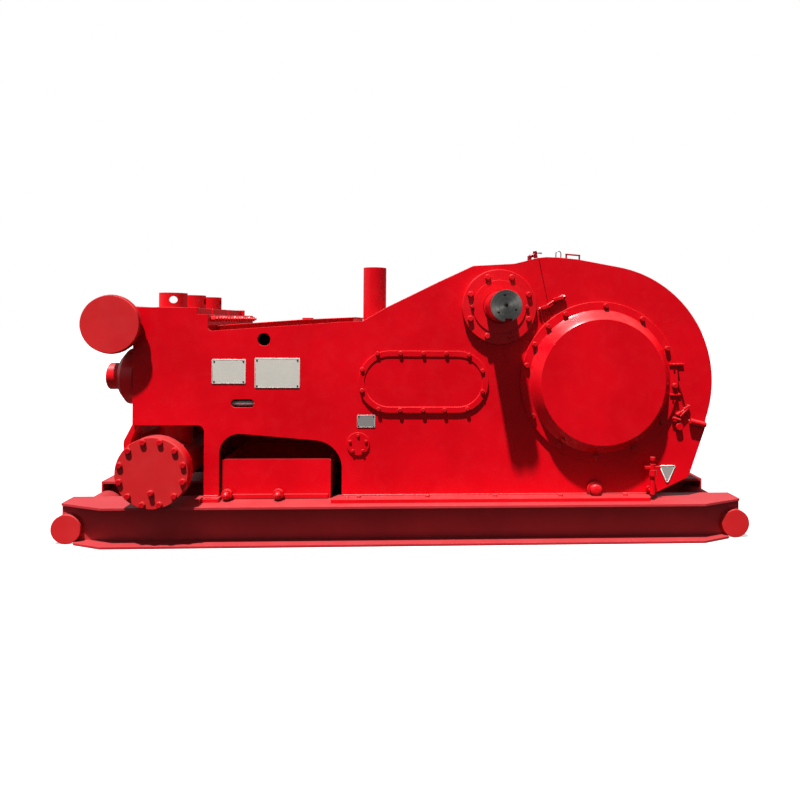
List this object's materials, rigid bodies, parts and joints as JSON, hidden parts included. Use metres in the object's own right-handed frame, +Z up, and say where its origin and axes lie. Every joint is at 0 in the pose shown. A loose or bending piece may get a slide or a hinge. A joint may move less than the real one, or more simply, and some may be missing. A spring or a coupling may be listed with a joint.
{
  "type": "triplex mud pump",
  "caption": "Horizontal triplex plunger pump on a beam skid: plated power frame, round gear case, forged fluid modules, suction and discharge manifolds and a pinion drive shaft.",
  "frame": {"origin": "on the ground under the middle of the skid, the bottom centre of the bounding box", "axes": "+X towards the power end (longest extent), -Y towards the side with the data plates, +Z up"},
  "size_m": [4.9508, 1.92, 2.0836],
  "materials": {
    "red_paint": "gloss red paint over steel",
    "skid_paint": "gloss red paint over rolled steel",
    "bare_steel": "turned steel, lightly oiled",
    "plate_metal": "plain etched metal sheet, no lettering"
  },
  "bodies": {
    "pump": {"skid_beam_near": "skid_paint", "skid_beam_centre": "skid_paint", "skid_beam_far": "skid_paint", "skid_cross_members": "skid_paint", "skid_end_pipes": "skid_paint", "skid_pipe_caps": "skid_paint", "side_plate_near": "red_paint", "side_plate_far": "red_paint", "rear_cover_cheeks": "red_paint", "rear_cover_skin": "red_paint", "frame_top_plate": "red_paint", "crosshead_deck": "red_paint", "crosshead_cover": "red_paint", "crankcase_bottom": "red_paint", "chamber_floor": "red_paint", "front_wall": "red_paint", "crosshead_wall": "red_paint", "frame_centre_web": "red_paint", "frame_feet": "red_paint", "main_bearing_covers": "red_paint", "pinion_housings": "red_paint", "pinion_seal_rings": "red_paint", "fluid_module_near": "red_paint", "fluid_module_middle": "red_paint", "fluid_module_far": "red_paint", "valve_cover_plugs": "red_paint", "cylinder_cover_plugs": "red_paint", "discharge_manifold": "red_paint", "discharge_end_discs": "red_paint", "suction_manifold": "red_paint", "suction_blind_flanges": "red_paint", "suction_hangers": "red_paint", "inspection_covers": "red_paint", "round_hand_covers": "red_paint", "crane_post_socket": "red_paint", "wash_tanks": "red_paint", "tank_drain_plugs": "red_paint", "blank_data_plates": "plate_metal", "cover_clamp_lugs": "red_paint", "cover_joint_bars": "red_paint", "drain_cock": "red_paint", "cover_lift_handle": "red_paint", "breather_cock": "red_paint"},
    "pinion": {"pinion_shaft": "bare_steel"},
    "cock_handle": {"drain_cock_handle": "red_paint"}
  },
  "joints": [
    {"name": "pinion_spin", "type": "hinge", "parent": "pump", "child": "pinion", "pos_m": [0.635, 0, 1.668], "axis": [0, 1, 0], "continuous": true},
    {"name": "drain_cock_turn", "type": "hinge", "parent": "pump", "child": "cock_handle", "pos_m": [1.753, -0.712, 0.522], "axis": [0, 0, 1], "range_deg": [0, 90]}
  ]
}
